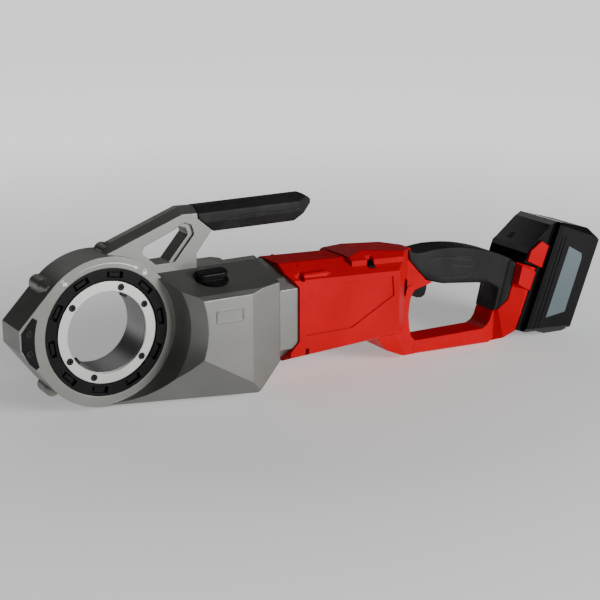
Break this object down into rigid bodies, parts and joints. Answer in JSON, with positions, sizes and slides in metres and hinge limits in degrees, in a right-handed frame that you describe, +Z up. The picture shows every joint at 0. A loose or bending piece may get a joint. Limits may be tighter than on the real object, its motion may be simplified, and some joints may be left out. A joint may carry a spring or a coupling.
{
  "type": "pipe threading machine",
  "caption": "Cordless hand-held pipe threading machine: ring head with a through bore, gearbox, motor body, D-handle with trigger, carry arm and slide-on battery.",
  "frame": {"origin": "on the axis of the pipe bore, at the front end of the spindle tube's plain bore", "axes": "+X from the head to the battery, +Y along the bore away from the die head's side, +Z up"},
  "size_m": [0.7417, 0.0996, 0.208],
  "materials": {
    "cast_grey": "satin cast alloy",
    "bright_steel": "brushed",
    "gear_steel": "machined",
    "dark_screw": "black oxide",
    "black_plastic": "fine texture",
    "gloss_black": "gloss",
    "red_plastic": "satin",
    "black_rubber": "soft grip",
    "copper": "enamelled wire",
    "board_green": "circuit board",
    "label_grey": "printed film",
    "cell_wrap": "shrink sleeve"
  },
  "bodies": {
    "housing": {"front_gear_housing": "cast_grey", "rear_gear_housing": "cast_grey", "rear_cover_ring": "black_plastic", "case_bolts": "dark_screw", "nose_plate": "black_plastic", "nose_plate_screws": "dark_screw", "carry_arm": "cast_grey", "carry_grip": "black_rubber", "carry_grip_bolt": "dark_screw", "spindle_bearing_front": "gear_steel", "spindle_bearing_rear": "gear_steel", "idler_pin": "gear_steel", "cross_shaft_bearings": "gear_steel", "carrier_bearing": "gear_steel", "planet_ring_gear": "gear_steel", "stator_core": "gear_steel", "stator_windings": "copper", "motor_bearings": "gear_steel", "motor_end_plates": "cast_grey", "body_shell_near": "red_plastic", "body_shell_far": "red_plastic", "body_shell_screws": "dark_screw", "rear_grip": "black_rubber", "trigger_switch": "black_plastic", "control_board": "board_green", "power_bus_bar": "copper", "terminal_block": "black_plastic"},
    "spindle": {"spindle_tube": "gear_steel", "spindle_gear": "gear_steel", "face_ring": "bright_steel", "face_ring_screws": "dark_screw", "drive_keys": "dark_screw"},
    "lock_ring": {"lock_ring": "black_plastic"},
    "idler": {"idler_gear": "gear_steel"},
    "cross_shaft": {"cross_shaft": "gear_steel", "output_pinion": "gear_steel", "bevel_gear": "gear_steel"},
    "carrier": {"planet_carrier": "gear_steel", "bevel_pinion": "gear_steel"},
    "planet_1": {"planet_gear_1": "gear_steel"},
    "planet_2": {"planet_gear_2": "gear_steel"},
    "planet_3": {"planet_gear_3": "gear_steel"},
    "rotor": {"motor_shaft": "gear_steel", "rotor_core": "gear_steel", "motor_fan": "black_plastic"},
    "knob": {"gearbox_knob": "black_plastic"},
    "trigger": {"trigger": "black_plastic", "trigger_spring": "bright_steel"},
    "selector": {"direction_selector": "black_plastic"},
    "status_button": {"status_button": "gloss_black"},
    "battery": {"battery_case_inner": "gloss_black", "battery_case_outer": "black_plastic", "battery_cells": "cell_wrap", "battery_labels": "label_grey", "battery_screws": "dark_screw", "gauge_panel": "gloss_black", "latch_springs": "bright_steel"},
    "gauge_button": {"gauge_button": "black_rubber"},
    "latch_near": {"release_latch_near": "red_plastic"},
    "latch_far": {"release_latch_far": "red_plastic"}
  },
  "joints": [
    {"name": "spindle_spin", "type": "hinge", "parent": "housing", "child": "spindle", "pos_m": [0, 0, 0], "axis": [0, 1, 0], "continuous": true},
    {"name": "idler_spin", "type": "hinge", "parent": "housing", "child": "idler", "pos_m": [0.08, 0, 0], "axis": [0, 1, 0], "continuous": true},
    {"name": "cross_shaft_spin", "type": "hinge", "parent": "housing", "child": "cross_shaft", "pos_m": [0.116, 0, 0], "axis": [0, 1, 0], "continuous": true},
    {"name": "carrier_spin", "type": "hinge", "parent": "housing", "child": "carrier", "pos_m": [0.116, 0, 0], "axis": [1, 0, 0], "continuous": true},
    {"name": "planet_1_spin", "type": "hinge", "parent": "carrier", "child": "planet_1", "pos_m": [0.177, 0.018, 0], "axis": [1, 0, 0], "continuous": true},
    {"name": "planet_2_spin", "type": "hinge", "parent": "carrier", "child": "planet_2", "pos_m": [0.177, -0.009, 0.01559], "axis": [1, 0, 0], "continuous": true},
    {"name": "planet_3_spin", "type": "hinge", "parent": "carrier", "child": "planet_3", "pos_m": [0.177, -0.009, -0.01559], "axis": [1, 0, 0], "continuous": true},
    {"name": "rotor_spin", "type": "hinge", "parent": "housing", "child": "rotor", "pos_m": [0.25, 0, 0], "axis": [1, 0, 0], "continuous": true},
    {"name": "lock_ring_turn", "type": "hinge", "parent": "housing", "child": "lock_ring", "pos_m": [0, 0, 0], "axis": [0, 1, 0], "range_deg": [0, 36]},
    {"name": "knob_turn", "type": "hinge", "parent": "housing", "child": "knob", "pos_m": [0.1154, -0.0186, 0.0461], "axis": [0, -0.312, 0.9501], "range_deg": [0, 90]},
    {"name": "trigger_pull", "type": "slide", "parent": "housing", "child": "trigger", "axis": [0.2599, 0, 0.9656], "range_m": [0, 0.006], "stiffness_N_per_m": 900, "springref_m": -0.002},
    {"name": "selector_push", "type": "slide", "parent": "housing", "child": "selector", "axis": [0, 1, 0], "range_m": [-0.003, 0.003]},
    {"name": "status_button_press", "type": "slide", "parent": "housing", "child": "status_button", "axis": [-0.04, 0.4872, -0.8724], "range_m": [0, 0.001], "stiffness_N_per_m": 600, "springref_m": -0.0005},
    {"name": "battery_slide", "type": "slide", "parent": "housing", "child": "battery", "axis": [0.3535, 0, 0.9354], "range_m": [0, 0.11]},
    {"name": "gauge_button_press", "type": "slide", "parent": "battery", "child": "gauge_button", "axis": [0.5745, 0, -0.8185], "range_m": [0, 0.0008], "stiffness_N_per_m": 600, "springref_m": -0.0005},
    {"name": "latch_near_press", "type": "slide", "parent": "battery", "child": "latch_near", "axis": [0, 1, 0], "range_m": [0, 0.003], "stiffness_N_per_m": 800, "springref_m": -0.001},
    {"name": "latch_far_press", "type": "slide", "parent": "battery", "child": "latch_far", "axis": [0, -1, 0], "range_m": [0, 0.003], "stiffness_N_per_m": 800, "springref_m": -0.001}
  ],
  "couplings": [
    {"joint": "idler_spin", "follows": "spindle_spin", "ratio": -3.4444},
    {"joint": "cross_shaft_spin", "follows": "spindle_spin", "ratio": 3.4444},
    {"joint": "carrier_spin", "follows": "spindle_spin", "ratio": 6.8889},
    {"joint": "rotor_spin", "follows": "spindle_spin", "ratio": 27.556},
    {"joint": "planet_1_spin", "follows": "spindle_spin", "ratio": -20.667},
    {"joint": "planet_2_spin", "follows": "spindle_spin", "ratio": -20.667},
    {"joint": "planet_3_spin", "follows": "spindle_spin", "ratio": -20.667}
  ]
}
